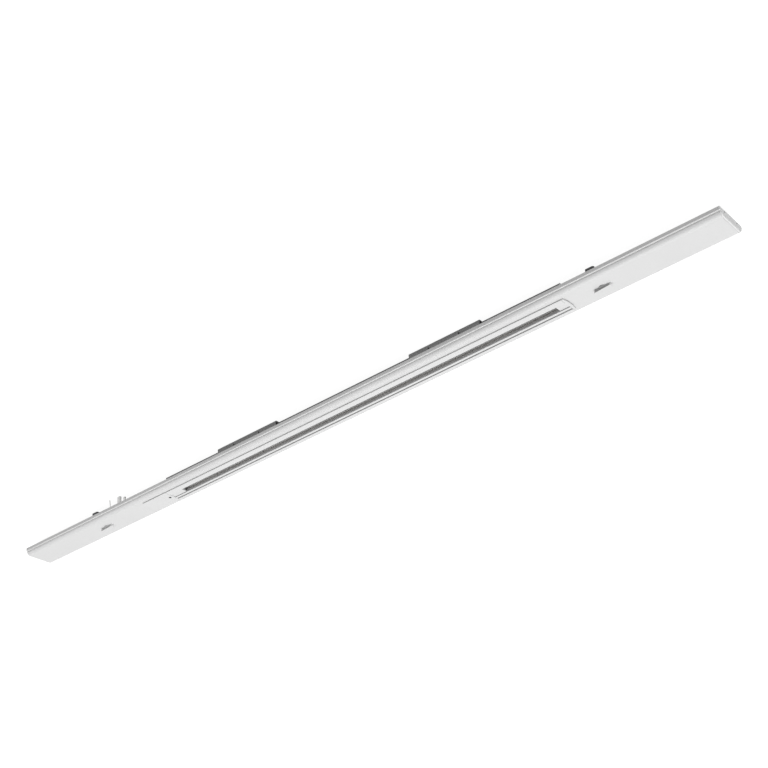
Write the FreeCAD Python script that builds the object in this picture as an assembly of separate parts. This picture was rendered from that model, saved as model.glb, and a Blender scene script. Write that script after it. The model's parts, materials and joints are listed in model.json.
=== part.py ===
import FreeCAD, Part
import math
import os

# Lighting track set in a trunking insert, lying face up on its two back brackets.
# Frame: +X along the insert towards its plain end, +Z out of the visible face, floor at z = 0.
# All sizes are in millimetres.

# Insert (tray) of folded sheet steel
overall_length = 1477.0
tray_width = 64.5
tray_sheet = 0.9
edge_radius = 8.8
edge_turn = 70.0
edge_wall = 7.7
ledge_width = 2.0
flange_height = 6.0
ledge_inner_radius = 0.5
flange_radius = 1.2

# End caps of the insert
cap_plate = 2.5
cap_seam = 0.35
cap_seam_depth = 0.7
cap_edge_radius = 1.0
cap_spigot_depth = 9.0
cap_spigot_wall = 1.6
cap_spigot_gap = 0.2
cap_hole_diameter = 2.6
cap_hole_spacing = 35.5
cap_hole_inset = 2.9

# Track extrusion
track_start = 372.0
track_length = 838.0
track_depth = 30.2
lip_width = 36.0
lip_thickness = 2.2
slot_width = 13.4
body_width = 32.4
track_wall = 1.8
web_thickness = 2.0
web_height = 7.0
back_lip_thickness = 1.8
back_slot_width = 14.0
back_rib_width = 2.0
back_rib_height = 1.3
polarity_groove_offset = 12.2
polarity_groove_width = 3.2
polarity_groove_depth = 1.6
lip_edge_radius = 0.5
channel_corner_radius = 0.8
back_corner_radius = 1.0
back_slot_radius = 0.5

# Insulators and conductors inside the track
insulator_width = 6.1
insulator_gap = 0.1
groove_height = 4.0
groove_depth = 4.2
groove_pitch = 9.6
conductor_width = 2.2
conductor_height = 3.0
insulator_corner_radius = 0.8

# Moulded ends of the track
feed_length = 60.0
feed_depth = 15.0
feed_corner_radius = 2.5
feed_hole_diameter = 5.4
feed_hole_depth = 6.0
feed_hole_setback = 6.3
feed_tongue = 28.5
end_piece_length = 2.8
end_piece_bow = 2.5
end_undercut_height = 1.2
end_undercut_depth = 1.3
end_tongue = 17.2
tongue_sink = 1.7
tongue_thickness = 4.0
tongue_gap = 0.1
plug_setback = 4.0
end_overlap = 1.0
joint_gap = 0.35
cutout_gap = 0.3

# Back brackets
bracket_sheet = 2.0
bracket_length = 137.0
bracket_inset = 135.1
bracket_pitch = 424.0
bracket_gap = 2.3
bracket_bend_radius = 2.8
bracket_hole_diameter = 3.2
bracket_hole_spacing = 59.0
bracket_hole_height = 7.2
bracket_screw_diameter = 4.3
bracket_screw_head = 8.0
bracket_screw_spacing = 90.0

# Quarter-turn latches
left_latch_inset = 197.0
right_latch_gap = 60.5
shaft_diameter = 8.0
shaft_clearance = 0.05
grip_length = 30.0
grip_width = 6.4
grip_height = 5.6
grip_low_height = 3.6
hub_diameter = 12.6
hub_top_diameter = 11.8
hub_height = 1.8
knob_air = 0.3
bar_end_inset = 2.0
bar_width = 15.0
bar_shift = 1.8
bar_corner_radius = 3.0
bar_thickness = 5.0
bar_air = 0.7
bar_hook_height = 1.4
bar_end_length = 9.0
key_width = 5.6
collar_diameter = 12.0

# Connector behind the insert
connector_start = 231.0
connector_length = 52.0
connector_width = 12.0
connector_wall_gap = 0.4
connector_depth = 15.0
connector_pad_width = 4.0
connector_edge_radius = 1.0
shoulder_air = 0.3
contact_air = 1.3
contact_sheet = 0.8
contact_bend_radius = 1.4
contact_root = 6.0
wide_contact_offset = 29.6
wide_contact_width = 5.4
wide_contact_loop = 5.0
wide_contact_floor_gap = 3.3
narrow_contact_offset = 44.7
narrow_contact_width = 3.4
narrow_contact_loop = 3.6
narrow_contact_floor_gap = 9.4
pin_offset = 8.4
pin_diameter = 1.8
pin_floor_gap = 2.5
pin_lean = 3.5

# Heights and places that follow from the sizes above
face_z = bracket_sheet + track_depth
face_back_z = face_z - tray_sheet
lip_z = face_z + lip_thickness
ledge_z = face_z - edge_wall
flange_edge_z = ledge_z - flange_height
half_length = overall_length / 2
half_width = tray_width / 2
tray_half_length = half_length - cap_plate
track_x0 = track_start - half_length
track_x1 = track_x0 + track_length
feed_x0 = track_x0 - feed_length
end_piece_x1 = track_x1 + end_piece_length
channel_floor_z = bracket_sheet + web_height + web_thickness
cavity_half = body_width / 2 - track_wall
plug_half = cavity_half - insulator_width - 2 * insulator_gap
bar_top_z = flange_edge_z - bar_air
connector_x0 = connector_start - half_length
connector_back_z = face_back_z - connector_depth
wall_y = half_width - ledge_width
connector_outer_y = wall_y - tray_sheet - connector_wall_gap
shoulder_outer_y = half_width - tray_sheet - shoulder_air
contact_outer_y = half_width - tray_sheet - contact_air

UP = FreeCAD.Vector(0, 0, 1)
ALONG = FreeCAD.Vector(1, 0, 0)
ACROSS = FreeCAD.Vector(0, 1, 0)
SAME_POINT = 1e-6
SAME_PLANE = 0.01


def point(x, y, z):
    return FreeCAD.Vector(x, y, z)


def box(x0, x1, y0, y1, z0, z1):
    return Part.makeBox(x1 - x0, y1 - y0, z1 - z0, point(x0, y0, z0))


def rounded_wire(corners, radii):
    """Closed wire through the corners, each corner rounded with an arc of its own radius."""
    edges = []
    starts = []
    count = len(corners)
    for i, corner in enumerate(corners):
        before = (corners[i - 1] - corner).normalize()
        after = (corners[(i + 1) % count] - corner).normalize()
        radius = radii[i]
        if radius <= 0:
            starts.append((corner, None, corner))
            continue
        half_angle = before.getAngle(after) / 2
        reach = radius / math.tan(half_angle)
        middle = (before + after).normalize()
        crown = corner + middle * (radius / math.sin(half_angle) - radius)
        starts.append((corner + before * reach, crown, corner + after * reach))
    for i, (first, crown, last) in enumerate(starts):
        if crown is not None:
            edges.append(Part.Arc(first, crown, last).toShape())
        following = starts[(i + 1) % count][0]
        if last.distanceToPoint(following) > SAME_POINT:
            edges.append(Part.LineSegment(last, following).toShape())
    return Part.Wire(edges)


def section(points_yz, radii, x0, x1):
    """Solid with the given (y, z) outline, carried along X from x0 to x1."""
    corners = [point(x0, y, z) for y, z in points_yz]
    return Part.Face(rounded_wire(corners, radii)).extrude(ALONG * (x1 - x0))


def plate(points_xy, radii, z0, z1):
    """Solid with the given (x, y) outline, carried up from z0 to z1."""
    corners = [point(x, y, z0) for x, y in points_xy]
    return Part.Face(rounded_wire(corners, radii)).extrude(UP * (z1 - z0))


def mirrored(points_yz):
    """Closed outline from its right half: the half, then its mirror image back to the start."""
    return points_yz + [(-y, z) for y, z in reversed(points_yz)]


def hole(x, y, z, direction, diameter, depth):
    return Part.makeCylinder(diameter / 2, depth, point(x, y, z), direction)


def edge_bend(inset):
    """Crease and corner (y, z) of the face's wide bend, and its radius, this far inside the sheet."""
    turn = math.radians(edge_turn)
    turn_reach = math.tan(turn / 2)
    crease_reach = math.tan((math.pi / 2 - turn) / 2)
    reach = edge_radius * turn_reach
    crease_z = face_z - edge_radius * (1 - math.cos(turn))
    corner_y = wall_y - reach * math.cos(turn)
    crease = (wall_y - inset, crease_z - inset * crease_reach)
    corner = (corner_y - inset * turn_reach, face_z - inset)
    radius = (reach - inset * (turn_reach + crease_reach)) / turn_reach
    return crease, corner, radius


def edge_outline(inset):
    """Near half of the insert's section, from the flange's edge to the face, this far inside it."""
    crease, corner, radius = edge_bend(inset)
    points = [
        (half_width - inset, flange_edge_z),
        (half_width - inset, ledge_z - inset),
        (wall_y - inset, ledge_z - inset),
        crease,
        corner,
    ]
    radii = [0, max(flange_radius - inset, 0), ledge_inner_radius + inset, 0, radius]
    return points, radii


def make_tray():
    """Folded sheet: flat face, wide bend, short wall, ledge and flange on both long sides."""
    outer, outer_radii = edge_outline(0)
    inner, inner_radii = edge_outline(tray_sheet)
    far_inner = [(-y, z) for y, z in inner]
    outline = mirrored(outer) + far_inner + inner[::-1]
    radii = outer_radii + outer_radii[::-1] + inner_radii + inner_radii[::-1]
    sheet = section(outline, radii, -tray_half_length, tray_half_length)
    cut_half = body_width / 2 + cutout_gap
    cut_x0 = feed_x0 + end_overlap
    cut_x1 = end_piece_x1 - end_overlap
    sheet = sheet.cut(box(cut_x0, cut_x1, -cut_half, cut_half, face_back_z, face_z))
    for x in latch_places():
        sheet = sheet.cut(hole(x, 0, face_back_z, UP, shaft_diameter + 2 * shaft_clearance, tray_sheet))
    return sheet


def cap_outline(inset):
    """Whole outline of an end plate, this far inside the insert's section, and its radii."""
    points, radii = edge_outline(inset)
    return mirrored(points), radii + radii[::-1]


def make_end_cap(side):
    """End plate with a rounded rim and a thin seam, and a spigot that plugs into the folded sheet."""
    plate_x0 = side * tray_half_length
    seam_x = plate_x0 + side * cap_seam
    plate_x1 = side * half_length
    rim_x = plate_x1 - side * cap_edge_radius
    cap = section(*cap_outline(0), seam_x, rim_x)
    rim = []
    for angle in (0, math.pi / 4, math.pi / 2):
        x = rim_x + side * cap_edge_radius * math.sin(angle)
        points, radii = cap_outline(cap_edge_radius * (1 - math.cos(angle)))
        rim.append(rounded_wire([point(x, y, z) for y, z in points], radii))
    cap = cap.fuse(Part.makeLoft(rim, True, True))
    cap = cap.fuse(section(*cap_outline(cap_seam_depth), plate_x0, seam_x))
    spigot_x1 = plate_x0 - side * cap_spigot_depth
    spigot_inset = tray_sheet + cap_spigot_gap
    shells = []
    for inset in (spigot_inset, spigot_inset + cap_spigot_wall):
        crease, corner, radius = edge_bend(inset)
        outline = mirrored([(wall_y - inset, flange_edge_z), crease, corner])
        shells.append(section(outline, [0, 0, radius, radius, 0, 0], plate_x0, spigot_x1))
    cap = cap.fuse(shells[0].cut(shells[1]))
    for y in (-cap_hole_spacing / 2, cap_hole_spacing / 2):
        start = min(plate_x0, plate_x1)
        drill = hole(start, y, flange_edge_z + cap_hole_inset, ALONG, cap_hole_diameter, cap_plate)
        cap = cap.cut(drill)
    return cap.removeSplitter()


def make_track_profile():
    """Extrusion: two lips over a deep channel, a web, and a slot with two ribs at the back."""
    lip_half = lip_width / 2
    slot_half = slot_width / 2
    body_half = body_width / 2
    web_z = bracket_sheet + web_height
    back_z = bracket_sheet + back_rib_height
    back_lip_z = back_z + back_lip_thickness
    back_half = back_slot_width / 2
    rib_half = back_half + back_rib_width
    half = [
        (cavity_half, channel_floor_z),
        (cavity_half, face_z),
        (slot_half, face_z),
        (slot_half, lip_z),
        (lip_half, lip_z),
        (lip_half, face_z),
        (body_half, face_z),
        (body_half, back_z),
        (rib_half, back_z),
        (rib_half, bracket_sheet),
        (back_half, bracket_sheet),
        (back_half, back_lip_z),
        (cavity_half, back_lip_z),
        (cavity_half, web_z),
    ]
    channel_radii = [channel_corner_radius, channel_corner_radius]
    lip_radii = [0, lip_edge_radius, lip_edge_radius, 0]
    back_radii = [0, back_corner_radius, 0, 0, 0, 0, back_slot_radius, back_slot_radius]
    half_radii = channel_radii + lip_radii + back_radii
    profile = section(mirrored(half), half_radii + half_radii[::-1], track_x0, track_x1)
    groove_y = -polarity_groove_offset
    groove = box(
        track_x0,
        track_x1,
        groove_y - polarity_groove_width / 2,
        groove_y + polarity_groove_width / 2,
        lip_z - polarity_groove_depth,
        lip_z,
    )
    return profile.cut(groove)


def insulator_span():
    """Lowest and highest z of an insulator strip, just clear of the channel."""
    return channel_floor_z + insulator_gap, face_z - insulator_gap


def groove_levels():
    low, high = insulator_span()
    middle = (low + high) / 2
    return {"lower": middle - groove_pitch / 2, "upper": middle + groove_pitch / 2}


def make_insulator(side):
    """Strip that lines one wall of the channel, with two grooves open to the middle."""
    outer_y = cavity_half - insulator_gap
    inner_y = outer_y - insulator_width
    low, high = insulator_span()
    points = [(inner_y, low), (outer_y, low), (outer_y, high), (inner_y, high)]
    for level in sorted(groove_levels().values(), reverse=True):
        top = level + groove_height / 2
        bottom = level - groove_height / 2
        depth_y = inner_y + groove_depth
        points += [(inner_y, top), (depth_y, top), (depth_y, bottom), (inner_y, bottom)]
    points = [(side * y, z) for y, z in points]
    corner = insulator_corner_radius
    radii = [0.0, corner, corner, 0.0] + [0.0] * (len(points) - 4)
    return section(points, radii, track_x0, track_x1)


def make_conductor(side, level_name):
    """Copper bar at the bottom of one groove."""
    outer_y = cavity_half - insulator_gap - insulator_width + groove_depth
    inner_y = outer_y - conductor_width
    level = groove_levels()[level_name]
    y0, y1 = sorted((side * inner_y, side * outer_y))
    return box(
        track_x0, track_x1, y0, y1, level - conductor_height / 2, level + conductor_height / 2
    )


def tongue_and_plug(x0, x1, plug_x0, plug_x1):
    """Tongue that closes the slot at one end, over a plug that fills the channel below it."""
    half = slot_width / 2 - tongue_gap
    top = lip_z - tongue_sink
    bottom = lip_z - tongue_thickness
    tongue = box(x0, x1, -half, half, bottom, top)
    plug = box(plug_x0, plug_x1, -plug_half, plug_half, channel_floor_z + insulator_gap, bottom)
    return tongue.fuse(plug)


def make_feed_piece():
    """Live end: a face plate over the cut-out's end, a terminal body, and the tongue and plug."""
    joint_x = track_x0 - joint_gap
    lip_half = lip_width / 2
    radius = feed_corner_radius
    outline = [(feed_x0, -lip_half), (joint_x, -lip_half), (joint_x, lip_half), (feed_x0, lip_half)]
    face = plate(outline, [radius, 0, 0, radius], face_z, lip_z)
    rim = []
    for edge in face.Edges:
        bounds = edge.BoundBox
        if bounds.ZMin > lip_z - SAME_PLANE and bounds.XMax < joint_x:
            rim.append(edge)
    face = face.makeFillet(lip_edge_radius, rim)
    body_half = body_width / 2
    body_x0 = feed_x0 + end_overlap + cutout_gap
    body = box(body_x0, joint_x, -body_half, body_half, face_z - feed_depth, face_z)
    tongue_x1 = track_x0 + feed_tongue
    tongue = tongue_and_plug(joint_x, tongue_x1, joint_x, tongue_x1 - plug_setback)
    piece = face.fuse([body, tongue])
    piece = piece.cut(
        hole(joint_x - feed_hole_setback, 0, lip_z - feed_hole_depth, UP, feed_hole_diameter, feed_hole_depth)
    )
    return piece.removeSplitter()


def bowed_plate(x0, x1, half, z0, z1):
    """Plate from x0 to x1 whose far end is bowed outwards."""
    side_a = Part.LineSegment(point(x0, -half, z0), point(x1, -half, z0))
    bow = Part.Arc(point(x1, -half, z0), point(x1 + end_piece_bow, 0, z0), point(x1, half, z0))
    side_b = Part.LineSegment(point(x1, half, z0), point(x0, half, z0))
    back = Part.LineSegment(point(x0, half, z0), point(x0, -half, z0))
    wire = Part.Wire([curve.toShape() for curve in (side_a, bow, side_b, back)])
    return Part.Face(wire).extrude(UP * (z1 - z0))


def make_track_end_cap():
    """Plain end: a thin bowed plate on a foot set back under its rim, with tongue and plug."""
    joint_x = track_x1 + joint_gap
    lip_half = lip_width / 2
    foot_z = face_z + end_undercut_height
    foot_x1 = end_piece_x1 - end_undercut_depth
    foot_half = lip_half - end_undercut_depth
    plate_part = bowed_plate(joint_x, end_piece_x1, lip_half, foot_z, lip_z)
    foot = bowed_plate(joint_x, foot_x1, foot_half, face_z, foot_z)
    body_half = body_width / 2
    body_x1 = end_piece_x1 - end_overlap - cutout_gap
    body = box(joint_x, body_x1, -body_half, body_half, bracket_sheet + back_rib_height, face_z)
    tongue_x0 = track_x1 - end_tongue
    tongue = tongue_and_plug(tongue_x0, joint_x, tongue_x0 + plug_setback, joint_x)
    return plate_part.fuse([foot, body, tongue]).removeSplitter()


def bracket_places():
    """Middle of each back bracket along X."""
    first = track_x0 + bracket_inset + bracket_length / 2
    return [first, first + bracket_pitch]


def make_bracket(x):
    """U of folded sheet round the track's back, its edges against the back of the insert's face."""
    inner_half = body_width / 2 + bracket_gap
    outer_half = inner_half + bracket_sheet
    x0 = x - bracket_length / 2
    x1 = x + bracket_length / 2
    outline = [
        (outer_half, 0),
        (outer_half, face_back_z),
        (inner_half, face_back_z),
        (inner_half, bracket_sheet),
        (-inner_half, bracket_sheet),
        (-inner_half, face_back_z),
        (-outer_half, face_back_z),
        (-outer_half, 0),
    ]
    inside = bracket_bend_radius - bracket_sheet
    radii = [bracket_bend_radius, 0, 0, inside, inside, 0, 0, bracket_bend_radius]
    bracket = section(outline, radii, x0, x1)
    drills = []
    for dx in (-bracket_hole_spacing / 2, bracket_hole_spacing / 2):
        for side in (-1, 1):
            drills.append(
                hole(
                    x + dx,
                    side * inner_half,
                    bracket_hole_height,
                    point(0, side, 0),
                    bracket_hole_diameter,
                    bracket_sheet,
                )
            )
    head_depth = (bracket_screw_head - bracket_screw_diameter) / 2
    for dx in (-bracket_screw_spacing / 2, bracket_screw_spacing / 2):
        centre = point(x + dx, 0, 0)
        drills.append(Part.makeCylinder(bracket_screw_diameter / 2, bracket_sheet, centre))
        drills.append(
            Part.makeCone(bracket_screw_head / 2, bracket_screw_diameter / 2, head_depth, centre)
        )
    return bracket.cut(drills)


def latch_places():
    """Turning axis of each latch along X: one from the insert's end, one from the track's end."""
    return [-half_length + left_latch_inset, track_x1 + right_latch_gap]


def make_latch_knob(x):
    """Grip, lower at one end, on a flat hub, with the shaft that turns in the tray's hole."""
    base_z = face_z + knob_air
    top_z = base_z + grip_height
    x0 = x - grip_length / 2
    x1 = x + grip_length / 2
    half = grip_width / 2
    grip = plate([(x0, -half), (x1, -half), (x1, half), (x0, half)], [half] * 4, base_z, top_z)
    high_end = point(x0, -half, top_z)
    low_end = point(x1, -half, base_z + grip_low_height)
    slope = Part.makePolygon([high_end, low_end, point(x1, -half, top_z), high_end])
    grip = grip.cut(Part.Face(slope).extrude(ACROSS * grip_width))
    hub = Part.makeCone(hub_diameter / 2, hub_top_diameter / 2, hub_height, point(x, 0, base_z))
    collar_z = face_back_z - knob_air
    collar = hole(x, 0, bar_top_z, UP, collar_diameter, collar_z - bar_top_z)
    shaft = hole(x, 0, bar_top_z, UP, shaft_diameter, base_z - bar_top_z)
    key_half = key_width / 2
    key = box(
        x - key_half, x + key_half, -key_half, key_half, bar_top_z - bar_thickness, bar_top_z
    )
    return grip.fuse([hub, shaft, collar, key]).removeSplitter()


def make_latch_bar(x):
    """Crossbar on the shaft's square end, thinner at its ends where it hooks into the trunking."""
    top = bar_top_z
    half = half_width - bar_end_inset
    bar_x0 = x - bar_width / 2 - bar_shift
    bar_x1 = x + bar_width / 2 - bar_shift
    outline = [(bar_x0, -half), (bar_x1, -half), (bar_x1, half), (bar_x0, half)]
    bar = plate(outline, [bar_corner_radius] * 4, top - bar_thickness, top)
    for side in (-1, 1):
        y0, y1 = sorted((side * half, side * (half - bar_end_length)))
        bar = bar.cut(box(bar_x0, bar_x1, y0, y1, top - bar_hook_height, top))
    key_half = key_width / 2
    bar = bar.cut(box(x - key_half, x + key_half, -key_half, key_half, top - bar_thickness, top))
    return bar


def make_contact(offset, width, loop, floor_gap):
    """Hairpin of spring strip: two legs rooted in the housing, joined by two bends at the tip."""
    x0 = connector_x0 + offset - width / 2
    root_z = connector_back_z + contact_root
    near_y = contact_outer_y
    far_y = near_y - loop
    strip = contact_sheet
    outline = [
        (near_y, root_z),
        (near_y, floor_gap),
        (far_y, floor_gap),
        (far_y, root_z),
        (far_y + strip, root_z),
        (far_y + strip, floor_gap + strip),
        (near_y - strip, floor_gap + strip),
        (near_y - strip, root_z),
    ]
    bend = contact_bend_radius
    inside = bend - strip
    return section(outline, [0, bend, bend, 0, 0, inside, inside, 0], x0, x0 + width)


def make_wide_contact():
    return make_contact(wide_contact_offset, wide_contact_width, wide_contact_loop, wide_contact_floor_gap)


def make_narrow_contact():
    return make_contact(
        narrow_contact_offset, narrow_contact_width, narrow_contact_loop, narrow_contact_floor_gap
    )


def make_contact_pin():
    """Thin pin that leans outwards from its root towards the insert's end."""
    y = contact_outer_y - pin_diameter / 2
    root = point(connector_x0 + pin_offset, y, connector_back_z + contact_root)
    tip = point(root.x - pin_lean, y, pin_floor_gap)
    axis = tip - root
    return Part.makeCylinder(pin_diameter / 2, axis.Length, root, axis)


def make_connector_housing():
    """Moulded base on the flat back of the face, with a shoulder that sits under the sheet's ledge."""
    inner_y = connector_outer_y - connector_width
    pad_y = inner_y + connector_pad_width
    inset = tray_sheet + connector_wall_gap
    shoulder_top_z = ledge_z - inset
    crease, corner, radius = edge_bend(inset)
    outline = [
        (inner_y, connector_back_z),
        (connector_outer_y, connector_back_z),
        (shoulder_outer_y, flange_edge_z),
        (shoulder_outer_y, shoulder_top_z),
        (connector_outer_y, shoulder_top_z),
        crease,
        corner,
        (pad_y, face_z - inset),
        (pad_y, face_back_z),
        (inner_y, face_back_z),
    ]
    radii = [connector_edge_radius, 0, 0, 0, 0, 0, radius, 0, 0, 0]
    housing = section(outline, radii, connector_x0, connector_x0 + connector_length)
    return housing.cut([make_wide_contact(), make_narrow_contact(), make_contact_pin()])


def build():
    """Every piece by its node name."""
    left_x, right_x = latch_places()
    first_bracket_x, second_bracket_x = bracket_places()
    pieces = {
        "tray": make_tray(),
        "end_cap_left": make_end_cap(-1),
        "end_cap_right": make_end_cap(1),
        "track_profile": make_track_profile(),
        "feed_piece": make_feed_piece(),
        "track_end_cap": make_track_end_cap(),
        "bracket_left": make_bracket(first_bracket_x),
        "bracket_right": make_bracket(second_bracket_x),
        "latch_knob_left": make_latch_knob(left_x),
        "latch_knob_right": make_latch_knob(right_x),
        "latch_bar_left": make_latch_bar(left_x),
        "latch_bar_right": make_latch_bar(right_x),
        "connector_housing": make_connector_housing(),
        "contact_blade_wide": make_wide_contact(),
        "contact_blade_narrow": make_narrow_contact(),
        "contact_pin": make_contact_pin(),
    }
    for side, side_name in ((1, "near"), (-1, "far")):
        pieces["insulator_" + side_name] = make_insulator(side)
        for level_name in ("upper", "lower"):
            pieces["conductor_" + side_name + "_" + level_name] = make_conductor(side, level_name)
    return pieces


os.makedirs("parts", exist_ok=True)
for node, shape in build().items():
    solids = shape.Solids
    print(node, "solids", len(solids), "valid", shape.isValid(), "volume", round(shape.Volume))
    solid = solids[0] if len(solids) == 1 else shape
    solid.exportStep("parts/" + node + ".step")
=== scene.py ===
# %% [markdown]
# A lighting track in its trunking insert
#
# The object is a long white sheet-steel tray that closes a ceiling trunking. A slotted aluminium
# track runs along the middle of its face, and quarter-turn latches hold it up. The solid shapes
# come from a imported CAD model. This lesson gives them finishes, adds the small fasteners, and
# sets a camera, a floor and lamps so that the picture matches one product photograph.

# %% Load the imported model
import json

import bpy
import numpy as np
from mathutils import Matrix, Vector


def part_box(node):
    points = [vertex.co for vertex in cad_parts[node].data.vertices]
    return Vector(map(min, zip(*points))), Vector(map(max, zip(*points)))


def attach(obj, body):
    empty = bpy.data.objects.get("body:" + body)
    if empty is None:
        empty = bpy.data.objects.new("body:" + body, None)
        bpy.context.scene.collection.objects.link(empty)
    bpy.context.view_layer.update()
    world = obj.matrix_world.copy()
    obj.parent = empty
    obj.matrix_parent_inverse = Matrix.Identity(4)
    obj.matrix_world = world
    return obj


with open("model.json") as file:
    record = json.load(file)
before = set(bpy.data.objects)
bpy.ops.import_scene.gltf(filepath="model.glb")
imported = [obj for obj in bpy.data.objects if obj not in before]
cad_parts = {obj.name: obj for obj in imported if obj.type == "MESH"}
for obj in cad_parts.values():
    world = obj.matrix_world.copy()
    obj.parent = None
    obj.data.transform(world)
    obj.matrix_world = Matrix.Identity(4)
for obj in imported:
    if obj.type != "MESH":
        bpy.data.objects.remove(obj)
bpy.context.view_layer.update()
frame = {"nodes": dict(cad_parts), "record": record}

MM = 0.001  # one millimetre in Blender's metres
nodes = frame["nodes"]

# %% [markdown]
# The camera
#
# In the photograph the insert hangs from a ceiling and is seen from below. Here it lies on a floor
# with the same face up, so the camera looks down on it and is rolled almost half a turn. Its place
# was solved from the edges of the insert, whose lengths are known from the CAD model. The focal
# length came out in pixels, and a lens in millimetres is that number times the sensor's width
# over the picture's width.

# %% Camera
PICTURE_SIDE = 768
FOCAL_PIXELS = 1375.42
SENSOR_MM = 36.0
VIEW_LIMIT = 100.0  # metres, farther than the floor's edge
CAMERA_PLACE = Vector((1.2705, 1.4891, 1.1414))
CAMERA_FORWARD = Vector((-0.5234, -0.6799, -0.5137)).normalized()
CAMERA_RIGHT = Vector((0.7656, -0.6398, 0.0668)).normalized()

lens = bpy.data.cameras.new("photo_camera")
lens.sensor_width = SENSOR_MM
lens.lens = FOCAL_PIXELS / PICTURE_SIDE * lens.sensor_width
lens.clip_end = VIEW_LIMIT
camera = bpy.data.objects.new("photo_camera", lens)
bpy.context.collection.objects.link(camera)
camera_up = CAMERA_RIGHT.cross(CAMERA_FORWARD)
turn = Matrix((CAMERA_RIGHT, camera_up, -CAMERA_FORWARD)).transposed()
camera.matrix_world = Matrix.Translation(CAMERA_PLACE) @ turn.to_4x4()
bpy.context.scene.camera = camera
print("camera with a lens of %.1f mm" % lens.lens)

# %% [markdown]
# Colours and nodes
#
# Colours are read from the photograph as sRGB hex values, as any paint program shows them. Blender
# shades with linear light, so one function converts them. A second function adds a shader node,
# sets what is fixed and links what varies. Every material below is made with these two.

# %% Colour and node helpers
def linear(hex_colour):
    """Linear RGBA of an sRGB hex colour.

    Each channel c, from 0 to 1, becomes ((c + 0.055) / 1.055) to the power 2.4, or c / 12.92 where
    it is very dark.
    """
    srgb = np.array([int(hex_colour[i:i + 2], 16) for i in (1, 3, 5)]) / 255
    light = np.where(srgb <= 0.04045, srgb / 12.92, ((srgb + 0.055) / 1.055) ** 2.4)
    return (*light.tolist(), 1.0)


def add(tree, kind, inputs=(), **settings):
    """Add one node with its settings and links.

    Settings are the node's own properties. Inputs are values or other nodes' sockets, in order or
    by name.
    """
    node = tree.nodes.new("ShaderNode" + kind)
    for name, value in settings.items():
        setattr(node, name, value)
    for socket, value in inputs.items() if isinstance(inputs, dict) else enumerate(inputs):
        if isinstance(value, bpy.types.NodeSocket):
            tree.links.new(value, node.inputs[socket])
        else:
            node.inputs[socket].default_value = value
    return node


def empty_material(name):
    """A new material with an empty node tree."""
    material = bpy.data.materials.new(name)
    material.use_nodes = True
    material.node_tree.nodes.clear()
    return material


print("white paint #E6E6E5 is", [round(v, 3) for v in linear("#E6E6E5")])

# %% [markdown]
# Painted and moulded skins
#
# Most of this object is white: powder coat on steel and aluminium, and moulded plastic. The eye
# tells them apart by gloss and by relief. Baked powder flows into low waves, a die leaves long
# lines on an extrusion, and a spark-eroded mould leaves a fine even grain. All of them are a
# dielectric with two noises: a relief with waves of a known width, and wide soft clouds that
# shift the tone and the gloss a little. One function makes them, from sizes in millimetres.

# %% A function for painted and moulded skins
PLASTIC_IOR = 1.5  # also that of paint
SHARE, FIRST, SECOND, RESULT = 0, 6, 7, 2  # places of the colour sockets on a Mix node
CLOUD_DETAIL, WAVE_DETAIL = 3.0, 2.0  # octaves of noise
SKIN_GLOSS_DRIFT = 0.05


def skin(name, tones, roughness, wave_mm, depth_mm, cloud_mm, other_tones=None, other_mask=None):
    """Dielectric skin: tone and gloss drift between two values in clouds, and waves give the relief.

    The waves have one width for each axis, so a long one draws lines along that axis. Where the
    mask is 1, the skin takes its other pair of tones.
    """
    material = empty_material(name)
    tree = material.node_tree
    place = add(tree, "TexCoord").outputs["Object"]
    soft = {"Vector": place, "Scale": 1 / (cloud_mm * MM), "Detail": CLOUD_DETAIL}
    cloud = add(tree, "TexNoise", soft).outputs[0]
    pair = {SHARE: cloud, FIRST: linear(tones[0]), SECOND: linear(tones[1])}
    tone = add(tree, "Mix", pair, data_type="RGBA").outputs[RESULT]
    if other_mask:
        other_pair = {SHARE: cloud, FIRST: linear(other_tones[0]), SECOND: linear(other_tones[1])}
        other = add(tree, "Mix", other_pair, data_type="RGBA").outputs[RESULT]
        masked = {SHARE: other_mask(tree), FIRST: tone, SECOND: other}
        tone = add(tree, "Mix", masked, data_type="RGBA").outputs[RESULT]
    low, high = roughness - SKIN_GLOSS_DRIFT, roughness + SKIN_GLOSS_DRIFT
    gloss = add(tree, "MapRange", {"Value": cloud, "To Min": low, "To Max": high}).outputs[0]
    per_metre = [1 / (width * MM) for width in wave_mm]
    stretched = add(tree, "Mapping", {"Vector": place, "Scale": per_metre}).outputs[0]
    fine = {"Vector": stretched, "Scale": 1.0, "Detail": WAVE_DETAIL}
    wave = add(tree, "TexNoise", fine).outputs[0]
    relief = add(tree, "Bump", {"Height": wave, "Distance": depth_mm * MM}).outputs[0]
    surface = add(tree, "BsdfPrincipled", {
        "Base Color": tone,
        "Roughness": gloss,
        "IOR": PLASTIC_IOR,
        "Normal": relief,
    })
    add(tree, "OutputMaterial", {"Surface": surface.outputs[0]})
    return material


def dress(material, *names):
    """Put a material on the slots of the named CAD nodes."""
    for name in names:
        part = nodes[name]
        if not part.material_slots:
            part.data.materials.append(material)
        for slot in part.material_slots:
            slot.material = material
    print(material.name, "on", ", ".join(names))


print("skins have an IOR of", PLASTIC_IOR, "and a gloss that drifts by", SKIN_GLOSS_DRIFT)
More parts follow.
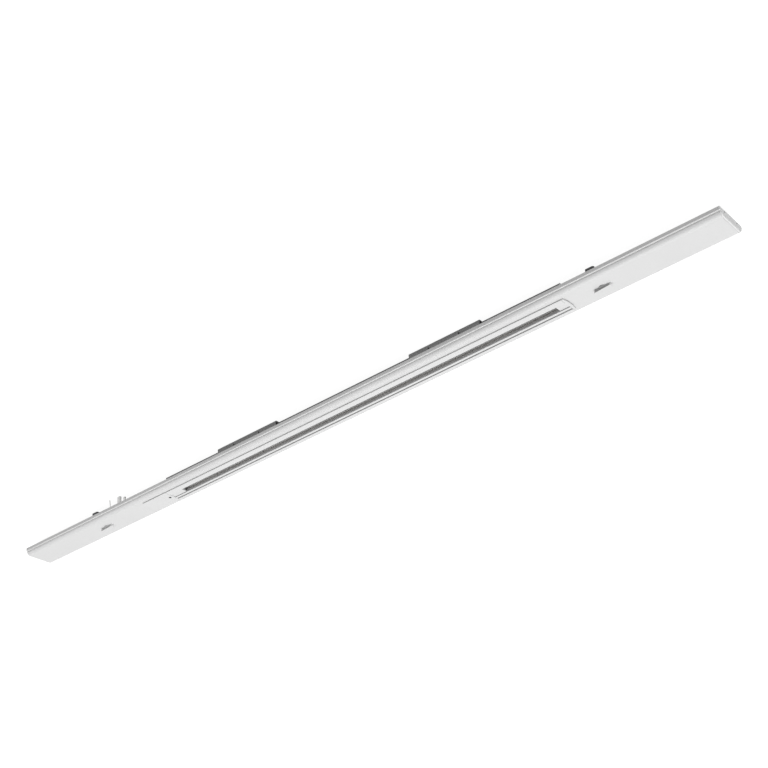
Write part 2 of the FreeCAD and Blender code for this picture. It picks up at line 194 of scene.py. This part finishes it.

# %% [markdown]
# Powder coat on the tray
#
# The tray is folded steel with a satin polyester powder coat over grey primer. Its orange-peel
# waves are about 2 mm wide; they are drawn 4 mm wide, because the picture has about half a pixel
# to a millimetre. The low wall in the crease above the tray's ledge gets a grey painted shade. A
# mask finds that wall by its distance from the middle line.

# %% Powder coat on the tray
# grey that paints shade in creases and recesses of the white coats
SHADE_GREY_ON_COAT = ("#7E7E7E", "#888888")
WALL_EDGE = 0.05 * MM  # how far a mask reaches to each side of a wall
LEDGE_WIDTH = 2.0 * MM
LEDGE_SHADE_SHARE = 0.15


# painted shade on the wall in the crease above the tray's ledge
def painted_crease_shade(tree):
    """Share of painted shade: the ledge's share where |y| is that of the wall by the ledge, 0
    elsewhere.
    """
    place = add(tree, "SeparateXYZ", [add(tree, "TexCoord").outputs["Object"]]).outputs
    aside = add(tree, "Math", [place["Y"]], operation="ABSOLUTE").outputs[0]
    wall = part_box("tray")[1][1] - LEDGE_WIDTH
    band = add(tree, "Math", [aside, wall, WALL_EDGE], operation="COMPARE").outputs[0]
    return add(tree, "Math", [band, LEDGE_SHADE_SHARE], operation="MULTIPLY").outputs[0]


tray_coat = skin(
    "satin powder coat on folded steel", ("#E3E3E3", "#E9E9E9"),
    roughness=0.42, wave_mm=(4, 4, 4), depth_mm=0.012, cloud_mm=60,
    other_tones=SHADE_GREY_ON_COAT, other_mask=painted_crease_shade,
)
dress(tray_coat, "tray")

# %% [markdown]
# Powder coat on the track
#
# The extrusion has the same coat on its lips, over die lines that run its whole length. They lie
# some tenths of a millimetre apart and are drawn 1.5 mm apart, so that they can show. Its body
# lies in the tray's shade, so below the tray's face it is given a grey painted shade. Grey painted
# shade also darkens the narrow places where shade falls: the polarity groove, the outer walls of
# the lips, and the slot's walls beside the moulded ends that are pushed into it.

# %% Powder coat on the track
tray_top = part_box("tray")[1][2]
slot_start, slot_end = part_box("feed_piece")[1][0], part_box("track_end_cap")[0][0]
COAT_EDGE = 0.5 * MM  # height over which the coat runs out
RECESSES = (  # middle of a band across the track, half its width, share of painted shade
    (-12.2 * MM, 1.65 * MM, 0.6),  # polarity groove
    (18.0 * MM, WALL_EDGE, 0.58),  # outer wall of the near lip
    (-18.0 * MM, WALL_EDGE, 0.3),  # outer wall of the far lip
)
SLOT_WALL = 6.7 * MM  # from the middle line
# share of painted shade on the slot's walls beside the plugged ends
PLUGGED_WALL_SHADE_SHARE = 0.8


# painted shade under the tray, in the groove, on the lips' outer walls and beside the plugged ends
def painted_track_shade(tree):
    """Share of painted shade: 1 below the tray's face, and the largest share that applies above it.

    Each recess has its own share in its band of y. The slot's walls, found by |y|, have the share
    for plugged walls where x lies outside the open length of the slot.
    """
    x, y, z = add(tree, "SeparateXYZ", [add(tree, "TexCoord").outputs["Object"]]).outputs
    span = {"Value": z, "From Min": tray_top - COAT_EDGE, "From Max": tray_top}
    shade_share = add(tree, "MapRange", {**span, "To Min": 1.0, "To Max": 0.0}).outputs[0]
    for middle, half, share in RECESSES:
        band = add(tree, "Math", [y, middle, half], operation="COMPARE").outputs[0]
        recess_shade = add(tree, "Math", [band, share], operation="MULTIPLY").outputs[0]
        shade_share = add(tree, "Math", [shade_share, recess_shade], operation="MAXIMUM").outputs[0]
    slot_middle, slot_half = (slot_start + slot_end) / 2, (slot_end - slot_start) / 2
    open_slot = add(tree, "Math", [x, slot_middle, slot_half], operation="COMPARE").outputs[0]
    plugged = add(tree, "Math", [1.0, open_slot], operation="SUBTRACT").outputs[0]
    aside = add(tree, "Math", [y], operation="ABSOLUTE").outputs[0]
    wall = add(tree, "Math", [aside, SLOT_WALL, WALL_EDGE], operation="COMPARE").outputs[0]
    plugged_wall = add(tree, "Math", [wall, plugged], operation="MULTIPLY").outputs[0]
    plugged_wall_shade = add(tree, "Math", [plugged_wall, PLUGGED_WALL_SHADE_SHARE], operation="MULTIPLY").outputs[0]
    return add(tree, "Math", [shade_share, plugged_wall_shade], operation="MAXIMUM").outputs[0]


track_coat = skin(
    "satin powder coat on extruded aluminium", ("#E6E6E6", "#ECECEC"),
    roughness=0.40, wave_mm=(250, 1.5, 1.5), depth_mm=0.010, cloud_mm=80,
    other_tones=SHADE_GREY_ON_COAT, other_mask=painted_track_shade,
)
dress(track_coat, "track_profile")

# %% [markdown]
# White mouldings at the ends
#
# The end caps are ABS with a fine eroded grain, about 0.1 mm across; it is drawn 0.8 mm across, so
# that it can show. The ends of the track are smoother mouldings, with low waves of about 6 mm.
# Shade falls on the low wall under their rim, where they meet the tray, so a grey painted shade
# darkens the colour there.

# %% White mouldings at the ends
# grey that paints shade on the mouldings' undercut and on the grips
SHADE_GREY_ON_MOULDING = ("#969696", "#A2A2A2")
UNDERCUT = 1.2 * MM
UPRIGHT_LIMIT = 0.5  # the most that the normal of an upright wall may point up or down
ACROSS_LIMIT = 0.5  # the least that the normal of a long side points across the insert


# painted shade in the undercut where the track's ends meet the tray
def painted_undercut_shade(tree):
    """Share of painted shade: 1 on upright walls over the undercut's height above the tray, and 0
    elsewhere.

    At the live end, where x is below 0, only the long sides count, which face across the insert.
    """
    own = add(tree, "TexCoord").outputs
    place = add(tree, "SeparateXYZ", [own["Object"]]).outputs
    facing = add(tree, "SeparateXYZ", [own["Normal"]]).outputs
    height = [place["Z"], tray_top + UNDERCUT / 2, UNDERCUT / 2]
    band = add(tree, "Math", height, operation="COMPARE").outputs[0]
    upright = add(tree, "Math", [facing["Z"], 0.0, UPRIGHT_LIMIT], operation="COMPARE").outputs[0]
    across = add(tree, "Math", [facing["Y"]], operation="ABSOLUTE").outputs[0]
    long_side = add(tree, "Math", [across, ACROSS_LIMIT], operation="GREATER_THAN").outputs[0]
    plain_end = add(tree, "Math", [place["X"], 0.0], operation="GREATER_THAN").outputs[0]
    where = add(tree, "Math", [long_side, plain_end], operation="MAXIMUM").outputs[0]
    wall = add(tree, "Math", [band, upright], operation="MULTIPLY").outputs[0]
    return add(tree, "Math", [wall, where], operation="MULTIPLY").outputs[0]


cap_plastic = skin(
    "eroded white ABS moulding", ("#EEEEEE", "#F3F3F3"),
    roughness=0.55, wave_mm=(0.8, 0.8, 0.8), depth_mm=0.015, cloud_mm=25,
)
end_plastic = skin(
    "smooth white polycarbonate moulding", ("#E5E5E5", "#EAEAEA"),
    roughness=0.36, wave_mm=(6, 6, 6), depth_mm=0.010, cloud_mm=30,
    other_tones=SHADE_GREY_ON_MOULDING, other_mask=painted_undercut_shade,
)
dress(cap_plastic, "end_cap_left", "end_cap_right")
dress(end_plastic, "feed_piece", "track_end_cap")

# %% [markdown]
# Grips of the latches
#
# The grips are white nylon, smooth on top and at their ends. Their long sides and their hub lie in
# shade, so a grey painted shade darkens them. More light reaches the grip at the live end, so it
# gets less of that painted shade, which paints light on it. The mask finds the long sides by their
# normal and the hub by its place.

# %% Grips of the latches
FLANK_START, FLANK_FULL = 0.55, 0.9  # how much the normal points across the insert
HUB_RADIUS = 6.4 * MM
HUB_TOP = tray_top + 2.15 * MM
GRIP_SHADE_FULL, GRIP_SHADE_END = 11.0 * MM, 14.0 * MM  # distance from the latch's middle along the grip
LIVE_END_SHADE_SHARE = 0.75  # share of the painted shade kept on the grip at the live end; the rest is painted light
latch_left, latch_right = [
    sum(corner[0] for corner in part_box("latch_knob_" + side)) / 2 for side in ("left", "right")
]


# painted shade on the grips' long sides and hubs, with less at the live end as painted light
def painted_grip_shade(tree):
    """Share of painted shade: 1 where the surface faces across the insert, or belongs to the hub, and 0
    elsewhere.

    The first comes from the size of its own normal in y, the second from its height and from its
    distance in x to the middle of the nearer latch. Near the grip's ends the value falls to 0,
    and on the grip at the live end only its smaller share is left, which paints light there.
    """
    own = add(tree, "TexCoord").outputs
    place = add(tree, "SeparateXYZ", [own["Object"]]).outputs
    facing = add(tree, "SeparateXYZ", [own["Normal"]]).outputs
    across = add(tree, "Math", [facing["Y"]], operation="ABSOLUTE").outputs[0]
    rise = {"Value": across, "From Min": FLANK_START, "From Max": FLANK_FULL}
    side = add(tree, "MapRange", rise).outputs[0]
    middle = (latch_left + latch_right) / 2
    along = add(tree, "Math", [place["X"], middle], operation="SUBTRACT").outputs[0]
    from_middle = add(tree, "Math", [along], operation="ABSOLUTE").outputs[0]
    signed = add(tree, "Math", [from_middle, latch_right - middle], operation="SUBTRACT").outputs[0]
    distance = add(tree, "Math", [signed], operation="ABSOLUTE").outputs[0]
    fall = {"Value": distance, "From Min": GRIP_SHADE_FULL, "From Max": GRIP_SHADE_END}
    inner = add(tree, "MapRange", {**fall, "To Min": 1.0, "To Max": 0.0}).outputs[0]
    flank = add(tree, "Math", [side, inner], operation="MULTIPLY").outputs[0]
    beside = add(tree, "Math", [distance, HUB_RADIUS], operation="LESS_THAN").outputs[0]
    low = add(tree, "Math", [place["Z"], HUB_TOP], operation="LESS_THAN").outputs[0]
    hub = add(tree, "Math", [beside, low], operation="MULTIPLY").outputs[0]
    # painted shade on the long sides and the hub
    eroded = add(tree, "Math", [flank, hub], operation="MAXIMUM").outputs[0]
    # less painted shade at the live end: painted light
    plain_end = add(tree, "Math", [place["X"], middle], operation="GREATER_THAN").outputs[0]
    live_end_light = {"Value": plain_end, "To Min": LIVE_END_SHADE_SHARE, "To Max": 1.0}
    grip_shade_share = add(tree, "MapRange", live_end_light).outputs[0]
    return add(tree, "Math", [eroded, grip_shade_share], operation="MULTIPLY").outputs[0]


grip_plastic = skin(
    "white nylon moulding with eroded sides", ("#E2E2E2", "#E8E8E8"),
    roughness=0.40, wave_mm=(3, 3, 3), depth_mm=0.010, cloud_mm=20,
    other_tones=SHADE_GREY_ON_MOULDING, other_mask=painted_grip_shade,
)
dress(grip_plastic, "latch_knob_left", "latch_knob_right")

# %% [markdown]
# Grey and black finishes
#
# The brackets are sheet steel in a matt grey electro-coat. The crossbars are black nylon filled
# with glass, whose fibres leave the skin a little cloudy. The strips in the slot are white rigid
# PVC, extruded, so they have faint lines along their length; they look grey only because little
# light gets into the slot. The plug base is light grey plastic. The relief of all four is drawn 1
# to 2 mm wide, several times coarser than it is, so that it can show.

# %% Grey and black finishes
bracket_coat = skin(
    "matt grey coat on sheet steel", ("#A2A2A2", "#ACACAC"),
    roughness=0.55, wave_mm=(1.5, 1.5, 1.5), depth_mm=0.012, cloud_mm=15,
)
bar_plastic = skin(
    "black glass-filled nylon", ("#1E1E1F", "#2C2C2D"),
    roughness=0.45, wave_mm=(1.2, 1.2, 1.2), depth_mm=0.020, cloud_mm=6,
)
strip_plastic = skin(
    "white extruded PVC", ("#E6E6E6", "#EEEEEE"),
    roughness=0.48, wave_mm=(200, 1.2, 1.2), depth_mm=0.010, cloud_mm=40,
)
base_plastic = skin(
    "light grey moulded PBT", ("#BDBDBD", "#C6C6C6"),
    roughness=0.45, wave_mm=(2, 2, 2), depth_mm=0.010, cloud_mm=15,
)
dress(bracket_coat, "bracket_left", "bracket_right")
dress(bar_plastic, "latch_bar_left", "latch_bar_right")
dress(strip_plastic, "insulator_near", "insulator_far")
dress(base_plastic, "connector_housing")

# %% [markdown]
# Bare metals
#
# Tinned copper bars lie deep in the slot, and tinned springs and a pin stand on the plug base. The
# screws and nuts at the back are zinc plated. The screws in the end caps are black, as painted
# shade for their holes.
# A metal has no body colour: what is seen is a tinted reflection. So the base colour is the tint,
# the metallic value is 1 and the IOR stays at its default. Drawing leaves scratches along a bar,
# which stretch the noise; a darker tarnish lies over it in patches. Real scratches are some
# hundredths of a millimetre wide; they are drawn 0.5 mm wide or more, so that they can show.

# %% Bare metals
PATCH_DETAIL, SCRATCH_DETAIL = 4.0, 3.0  # octaves of noise
METAL_GLOSS_DRIFT = 0.08


def bare_metal(name, bright, dull, roughness, scratch_mm, depth_mm, patch_mm):
    """Metal whose tint goes from bright to dull in patches, with scratches of a width for each axis."""
    material = empty_material(name)
    tree = material.node_tree
    place = add(tree, "TexCoord").outputs["Object"]
    soft = {"Vector": place, "Scale": 1 / (patch_mm * MM), "Detail": PATCH_DETAIL}
    patch = add(tree, "TexNoise", soft).outputs[0]
    pair = {SHARE: patch, FIRST: linear(bright), SECOND: linear(dull)}
    tint = add(tree, "Mix", pair, data_type="RGBA").outputs[RESULT]
    per_metre = [1 / (width * MM) for width in scratch_mm]
    stretched = add(tree, "Mapping", {"Vector": place, "Scale": per_metre}).outputs[0]
    fine = {"Vector": stretched, "Scale": 1.0, "Detail": SCRATCH_DETAIL}
    scratch = add(tree, "TexNoise", fine).outputs[0]
    low, high = roughness - METAL_GLOSS_DRIFT, roughness + METAL_GLOSS_DRIFT
    gloss = add(tree, "MapRange", {"Value": scratch, "To Min": low, "To Max": high}).outputs[0]
    relief = add(tree, "Bump", {"Height": scratch, "Distance": depth_mm * MM}).outputs[0]
    surface = add(tree, "BsdfPrincipled", {
        "Base Color": tint,
        "Metallic": 1.0,
        "Roughness": gloss,
        "Normal": relief,
    })
    add(tree, "OutputMaterial", {"Surface": surface.outputs[0]})
    return material


bar_metal = bare_metal(
    "dull tin on drawn copper", "#E2E0DD", "#C6C3BE",
    roughness=0.36, scratch_mm=(60, 0.5, 0.5), depth_mm=0.008, patch_mm=12,
)
tin_plate = bare_metal(
    "tin plate on spring brass", "#CFCFCF", "#ABABA9",
    roughness=0.34, scratch_mm=(0.8, 0.8, 3), depth_mm=0.006, patch_mm=4,
)
zinc_plate = bare_metal(
    "zinc plate on screw steel", "#C9CBCC", "#A9ABAC",
    roughness=0.38, scratch_mm=(0.6, 0.6, 0.6), depth_mm=0.006, patch_mm=3,
)
# black as painted shade for the holes in the end caps
cap_hole_shade_zinc = bare_metal(
    "black passivated zinc on screw steel", "#464647", "#303031",
    roughness=0.42, scratch_mm=(0.6, 0.6, 0.6), depth_mm=0.006, patch_mm=3,
)
bar_sides = ("near_upper", "near_lower", "far_upper", "far_lower")
dress(bar_metal, *["conductor_" + side for side in bar_sides])
dress(tin_plate, "contact_blade_wide", "contact_blade_narrow", "contact_pin")

# %% [markdown]
# Turned grids
#
# The fasteners are turned, rolled, stamped or moulded. Each is a surface of revolution, or nearly
# so, and that is one grid: rows from end to end of the profile, and spokes round the axis. A row
# near the axis keeps a tiny radius, and one flat face closes it. A ring has no such ends, so its
# last row joins its first. A cross recess only lowers the rows of a head where a point lies in one
# of two crossed bars. Fasteners are sized in millimetres, and add_piece turns those into metres.

# %% Turned grids
SPOKES = 40
POLE = 0.02  # radius of the row next to the axis
RECESS_BLUR = 0.25  # width of a recess's soft edge
RECESS_RISE = 0.5  # share of its depth that a recess loses at the ends of its arms
SHARP_ANGLE = np.radians(35)


def cross_recess(x, y, arm, width, depth):
    """Depth of a cross recess: two crossed bars with soft edges, shallower towards the arms' ends."""
    near = np.minimum(abs(x), abs(y))
    far = np.maximum(abs(x), abs(y))
    across = np.clip((width / 2 - near) / RECESS_BLUR + 0.5, 0, 1)
    along = np.clip((arm - far) / RECESS_BLUR + 0.5, 0, 1)
    return depth * across * along * (1 - RECESS_RISE * np.clip(far / arm, 0, 1))


def turned_points(radius, height):
    """Points of a turned shape: each row and spoke has a radius and a height, both in millimetres."""
    angle = np.linspace(0, 2 * np.pi, radius.shape[1], endpoint=False)
    return np.stack([radius * np.cos(angle), radius * np.sin(angle), height], axis=-1)


def grid_faces(rows, spokes, ring):
    """Quads between neighbouring rows and spokes. The spokes wrap, and in a ring the rows wrap too."""
    row = np.arange(rows if ring else rows - 1)[:, None]
    here = np.arange(spokes)[None, :]
    start, above = row * spokes, (row + 1) % rows * spokes
    after = (here + 1) % spokes
    corners = [start + here, start + after, above + after, above + here]
    return np.stack(corners, axis=-1).reshape(-1, 4)


def add_piece(name, points, ring, material):
    """Mesh from a grid of points in millimetres, its open ends closed by a face, on the insert."""
    rows, spokes = points.shape[:2]
    faces = grid_faces(rows, spokes, ring).tolist()
    if not ring:
        faces.append(list(range(spokes))[::-1])
        faces.append(list(range((rows - 1) * spokes, rows * spokes)))
    mesh = bpy.data.meshes.new(name)
    mesh.from_pydata((points.reshape(-1, 3) * MM).tolist(), [], faces)
    mesh.shade_smooth()
    mesh.set_sharp_from_angle(angle=SHARP_ANGLE)
    mesh.materials.append(material)
    piece = bpy.data.objects.new(name, mesh)
    bpy.context.collection.objects.link(piece)
    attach(piece, "insert")
    return len(faces)


print("each row of a screw has", SPOKES, "spokes")

# %% [markdown]
# Countersunk screws at the back
#
# Each back bracket is held by two countersunk M4 screws of turned and rolled steel: a flat head
# with a cross recess, a cone, and a thread. On the thread the radius follows the angle as well as
# the height, so the ridge winds round the shank and no helix has to be swept.

# %% Countersunk screws
HEAD_ROWS, CONE_ROWS = 18, 5
ROWS_PER_PITCH = 6
TIP_ROUND = 0.6  # radius just before the tip, as a share of the shank's
TIP_START, TIP_EDGE = 0.8, 0.1  # distance from the tip, in pitches
SCREW_SPREAD = 90.0  # between the two screws of a bracket
HEAD_SINK = 0.05


def countersunk_screw(head, shank, cone, length, pitch, thread_depth, arm, slot_width, slot_depth):
    """Screw with its head's face at height 0 and its tip at the given length, in millimetres.

    Rows run over the head, down the cone, along the thread and round the tip. On the thread the
    radius falls by the depth times a triangle wave of height over pitch less angle over a turn.
    """
    turn = np.linspace(0, 1, SPOKES, endpoint=False)[None, :]
    angle = 2 * np.pi * turn
    face_radius = np.linspace(POLE, head, HEAD_ROWS)[:, None] + 0 * turn
    face_x, face_y = face_radius * np.cos(angle), face_radius * np.sin(angle)
    face_height = cross_recess(face_x, face_y, arm, slot_width, slot_depth)
    step = np.linspace(0, 1, CONE_ROWS)[1:, None]
    cone_radius = head + (shank - head) * step + 0 * turn
    cone_height = cone * step + 0 * turn
    thread_rows = int(ROWS_PER_PITCH * length / pitch)
    thread_height = np.linspace(cone, length - pitch, thread_rows)[1:, None] + 0 * turn
    wave = abs(2 * ((thread_height / pitch - turn) % 1) - 1)
    thread_radius = shank - thread_depth * wave
    tip_radius = np.array([shank - thread_depth, TIP_ROUND * shank, POLE])[:, None] + 0 * turn
    tip_height = length - pitch * np.array([TIP_START, TIP_EDGE, 0])[:, None] + 0 * turn
    radius = np.vstack([face_radius, cone_radius, thread_radius, tip_radius])
    height = np.vstack([face_height, cone_height, thread_height, tip_height])
    return turned_points(radius, height)


m4_screw = countersunk_screw(
    head=3.9, shank=1.95, cone=1.9, length=8.3, pitch=0.7, thread_depth=0.35,
    arm=2.3, slot_width=0.9, slot_depth=1.3,
)
screw_places = []
for side in ("left", "right"):
    low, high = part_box("bracket_" + side)
    middle = (low[0] + high[0]) / 2 / MM
    for label, away in (("_a", -SCREW_SPREAD / 2), ("_b", SCREW_SPREAD / 2)):
        screw_places.append((side + label, middle + away))
for label, x in screw_places:
    placed = m4_screw + [x, 0, HEAD_SINK]
    count = add_piece("bracket_screw_" + label, placed, False, zinc_plate)
print("four bracket screws of", count, "faces each")

# %% [markdown]
# Slot nuts
#
# The screws hold in plates that slide in the slot at the back of the extrusion. Each is a stamped
# steel rectangle with rounded corners, small chamfers and a hole. It is a ring: a closed profile
# that goes from the hole's edge out to the rim and back, carried round the axis, where the rim's
# distance is that of a rectangle with an even power in place of the usual square.

# %% Slot nuts
NUT_SPOKES = 96
NUT_HOLE = 2.05
NUT_CHAMFER = 0.35
NUT_POWER = 10


def slot_nut(half_x, half_y, bottom, top):
    """Ring of points, chamfered above and below, in millimetres.

    The rim's distance is (|cos / half_x| ^ n + |sin / half_y| ^ n) ^ (-1 / n), with n the power.
    """
    angle = np.linspace(0, 2 * np.pi, NUT_SPOKES, endpoint=False)
    reach_x, reach_y = abs(np.cos(angle) / half_x), abs(np.sin(angle) / half_y)
    rim = (reach_x ** NUT_POWER + reach_y ** NUT_POWER) ** (-1 / NUT_POWER)
    c = NUT_CHAMFER
    share = np.array([0, 0, 1, 1, 1, 1, 0, 0])[:, None]
    inset = np.array([0, c, -c, 0, 0, -c, c, 0])[:, None]
    level = np.array([bottom + c, bottom, bottom, bottom + c, top - c, top, top, top - c])[:, None]
    radius = NUT_HOLE + share * (rim - NUT_HOLE)[None, :] + inset
    return turned_points(radius, level + 0 * radius)


nut = slot_nut(half_x=10, half_y=12, bottom=5.2, top=8.4)
for label, x in screw_places:
    count = add_piece("slot_nut_" + label, nut + [x, 0, 0], True, zinc_plate)
print("four slot nuts of", count, "faces each")

# %% [markdown]
# Clamp screw in the live end
#
# The small hole in the moulded live end shows dark, from the shade that falls in it. It is taken as
# the way to a clamp screw whose pan head lies a little below the face; the screw is black nylon,
# and that black is painted shade for the hole. Shank and head are one turned grid again: rows
# under the shank, up its side, out under the head, round the head's edge and over its top, where
# the cross recess lowers them.

# %% Clamp screw
EDGE_ROWS, TOP_ROWS = 6, 16
FEED_JOINT_GAP = 0.35
FEED_HOLE_SETBACK = 6.3
FEED_HOLE_DEPTH = 6.0
CLAMP_BELOW_FACE = 0.5
CLAMP_HEAD_HEIGHT = 1.7


def pan_screw(head, head_height, edge, shank, shank_length, arm, slot_width, slot_depth):
    """Screw from height 0 at the shank's end to the head's top, in millimetres.

    Flat rows make the shank and the head's underside. The head's edge is a quarter circle, and its
    top is flat less the depth of the recess.
    """
    turn = np.linspace(0, 1, SPOKES, endpoint=False)[None, :]
    angle = 2 * np.pi * turn
    stem_radius = np.array([POLE, shank, shank, head])[:, None] + 0 * turn
    stem_height = np.array([0, 0, shank_length, shank_length])[:, None] + 0 * turn
    bend = np.linspace(0, np.pi / 2, EDGE_ROWS)[:, None]
    head_top = shank_length + head_height
    edge_radius = head - edge + edge * np.cos(bend) + 0 * turn
    edge_height = head_top - edge + edge * np.sin(bend) + 0 * turn
    top_radius = np.linspace(head - edge, POLE, TOP_ROWS)[1:, None] + 0 * turn
    top_x, top_y = top_radius * np.cos(angle), top_radius * np.sin(angle)
    top_height = head_top - cross_recess(top_x, top_y, arm, slot_width, slot_depth)
    radius = np.vstack([stem_radius, edge_radius, top_radius])
    height = np.vstack([stem_height, edge_height, top_height])
    return turned_points(radius, height)


hole_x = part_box("track_profile")[0][0] / MM - FEED_JOINT_GAP - FEED_HOLE_SETBACK
hole_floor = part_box("feed_piece")[1][2] / MM - FEED_HOLE_DEPTH
clamp_shank = FEED_HOLE_DEPTH - CLAMP_BELOW_FACE - CLAMP_HEAD_HEIGHT - HEAD_SINK
clamp_screw = pan_screw(
    head=2.55, head_height=CLAMP_HEAD_HEIGHT, edge=0.5, shank=1.3, shank_length=clamp_shank,
    arm=1.3, slot_width=0.7, slot_depth=0.9,
)
placed = clamp_screw + [hole_x, 0, hole_floor + HEAD_SINK]
# the crossbars' black nylon, here as painted shade in the hole
count = add_piece("feed_clamp_screw", placed, False, bar_plastic)
print("clamp screw at x", round(hole_x, 1), "of", count, "faces")

# %% [markdown]
# Screws in the end caps
#
# Each end plate has two small holes, which show as dark dots because shade falls in them. Short
# screws sit in them, just below the face, and their black skin is painted shade for those holes.
# They are the same pan screw, laid down: a quarter turn about the Y axis makes their heads point
# along the insert. The places come from the record.

# %% Cap screws
CAP_SCREW_SINK = 0.15
CAP_SHANK, CAP_HEAD_HEIGHT = 1.3, 0.9


def along_x(points, side):
    """Points after a quarter turn about Y: up becomes +X for side 1 and -X for side -1."""
    x, y, z = np.moveaxis(points, -1, 0)
    return np.stack([side * z, y, -side * x], axis=-1)


cap_screw = pan_screw(
    head=1.22, head_height=CAP_HEAD_HEIGHT, edge=0.25, shank=0.8, shank_length=CAP_SHANK,
    arm=0.7, slot_width=0.35, slot_depth=0.4,
)
cap_depth = CAP_SHANK + CAP_HEAD_HEIGHT + CAP_SCREW_SINK
for mount in frame["record"]["mounts"]:
    if not mount["name"].startswith("cap_screws"):
        continue
    side = mount["axis"][0]
    x, y, z = [v / MM for v in mount["pos_m"]]
    reach = mount["dims"]["spacing_x_mm"] / 2
    for label, across in (("a", -reach), ("b", reach)):
        placed = along_x(cap_screw, side) + [x - side * cap_depth, y + across, z]
        name = mount["name"].replace("screws", "screw") + "_" + label
        count = add_piece(name, placed, False, cap_hole_shade_zinc)
print("four cap screws of", count, "faces each")

# %% [markdown]
# The floor
#
# The photograph has a plain white ground. A floor of bright paint would throw so much light up
# that the object's sides lose their shade. So for the light that it sends on, the floor is a mid
# grey. What the camera, reflections and see-through rays find there is a dark paint that carries
# the shadow, plus a glow, and the two add up to white where little shadow falls.

# %% Floor
FLOOR_BOUNCE = 0.44  # share of light that the floor sends on to the object
FLOOR_SEEN = 0.26  # share that the camera finds, under the glow
FLOOR_GLOW = 0.94
FLOOR_RADIUS = 40.0  # metres
FLOOR_DROP = 0.1 * MM  # below the brackets, so that no two faces fall together
FLOOR_RINGS, FLOOR_SPOKES = 8, 64


def seen_directly(tree):
    """A value of 1 for camera, glossy and transmission rays, and 0 for those of diffuse light."""
    path = add(tree, "LightPath").outputs
    outer = [path["Is Camera Ray"], path["Is Glossy Ray"]]
    first = add(tree, "Math", outer, operation="MAXIMUM").outputs[0]
    return add(tree, "Math", [first, path["Is Transmission Ray"]], operation="MAXIMUM").outputs[0]


def disc(radius, height, rings, spokes):
    """Flat disc on a polar grid: radius runs over the rings and angle over the spokes."""
    r = np.linspace(0, radius, rings + 1)[1:, None]
    angle = np.linspace(0, 2 * np.pi, spokes, endpoint=False)[None, :]
    level = np.full((rings, spokes), height)
    ring = np.stack([r * np.cos(angle), r * np.sin(angle), level], axis=-1)
    return np.vstack([[(0.0, 0.0, height)], ring.reshape(-1, 3)])


def disc_faces(rings, spokes):
    """A fan round the centre, then quads from ring to ring."""
    here = np.arange(spokes)
    after = (here + 1) % spokes
    fan = np.stack([np.zeros(spokes, int), 1 + here, 1 + after], axis=-1)
    start = 1 + spokes * np.arange(rings - 1)[:, None]
    outer = start + spokes
    quads = np.stack([start + here, outer + here, outer + after, start + after], axis=-1)
    return fan.tolist() + quads.reshape(-1, 4).tolist()


floor_points = disc(FLOOR_RADIUS, -FLOOR_DROP, FLOOR_RINGS, FLOOR_SPOKES).tolist()
floor_mesh = bpy.data.meshes.new("floor")
floor_mesh.from_pydata(floor_points, [], disc_faces(FLOOR_RINGS, FLOOR_SPOKES))
floor = bpy.data.objects.new("floor", floor_mesh)
bpy.context.collection.objects.link(floor)

floor_paint = empty_material("matt studio floor")
tree = floor_paint.node_tree
seen = seen_directly(tree)
grey = add(tree, "MapRange", {"Value": seen, "To Min": FLOOR_BOUNCE, "To Max": FLOOR_SEEN})
matt = add(tree, "BsdfDiffuse", {"Color": grey.outputs[0]})
glow_level = add(tree, "Math", [seen, FLOOR_GLOW], operation="MULTIPLY").outputs[0]
glow = add(tree, "Emission", {"Strength": glow_level})
both = add(tree, "AddShader", [matt.outputs[0], glow.outputs[0]])
add(tree, "OutputMaterial", {"Surface": both.outputs[0]})
floor_mesh.materials.append(floor_paint)
print("floor of radius", FLOOR_RADIUS, "m with", len(floor_mesh.polygons), "faces")

# %% [markdown]
# The world
#
# Beyond the floor's edge the camera finds the world, which does as the floor does: white for what
# is seen, and a weak even fill for the light that reaches the object.

# %% World
WORLD_FILL = 0.305
WHITE = (1.0, 1.0, 1.0, 1.0)

world = bpy.data.worlds.new("studio")
bpy.context.scene.world = world
world.use_nodes = True
tree = world.node_tree
tree.nodes.clear()
level = add(tree, "MapRange", {"Value": seen_directly(tree), "To Min": WORLD_FILL, "To Max": 1.0})
sky = add(tree, "Background", {"Color": WHITE, "Strength": level.outputs[0]})
add(tree, "OutputWorld", {"Surface": sky.outputs[0]})
print("world fill", WORLD_FILL)

# %% [markdown]
# Lamps
#
# The face in the photograph is light, the long sides are much darker, and the end at the right
# lies between them. So most light comes from above: from a wide soft sun that is even over the
# whole length, and from two lamps over the middle and the right, because the face is lightest
# between them. One large lamp stands low off the right end. The near edge grows a little lighter
# towards the left, so a weak lamp stands there. A sun's strength is an irradiance, and a white
# face sends back that number over pi, so a plain level is about pi in all.

# %% Lamps
SUN_STRENGTH = 1.12
SUN_WIDTH = np.radians(60)
LAMPS = {  # place, size in metres, watts
    "top_lamp": ((0.05, 0.0, 1.6), 1.2, 5.2),
    "high_right_lamp": ((1.1, 0.0, 1.5), 0.8, 2.6),
    "right_lamp": ((3.4, -0.5, 0.3), 1.6, 19.0),
    "left_lamp": ((-1.8, 1.2, 1.3), 0.8, 6.5),
}

sun_data = bpy.data.lights.new("overhead_sun", "SUN")
sun_data.energy = SUN_STRENGTH
sun_data.angle = SUN_WIDTH
bpy.context.collection.objects.link(bpy.data.objects.new("overhead_sun", sun_data))
for name, (place, size, watts) in LAMPS.items():
    lamp_data = bpy.data.lights.new(name, "AREA")
    lamp_data.energy = watts
    lamp_data.size = size
    lamp = bpy.data.objects.new(name, lamp_data)
    lamp.location = place
    lamp.rotation_euler = (-Vector(place)).to_track_quat("-Z", "Y").to_euler()
    bpy.context.collection.objects.link(lamp)
bpy.context.scene.view_settings.view_transform = "Standard"
print("sun", SUN_STRENGTH, "and", len(LAMPS), "lamps")
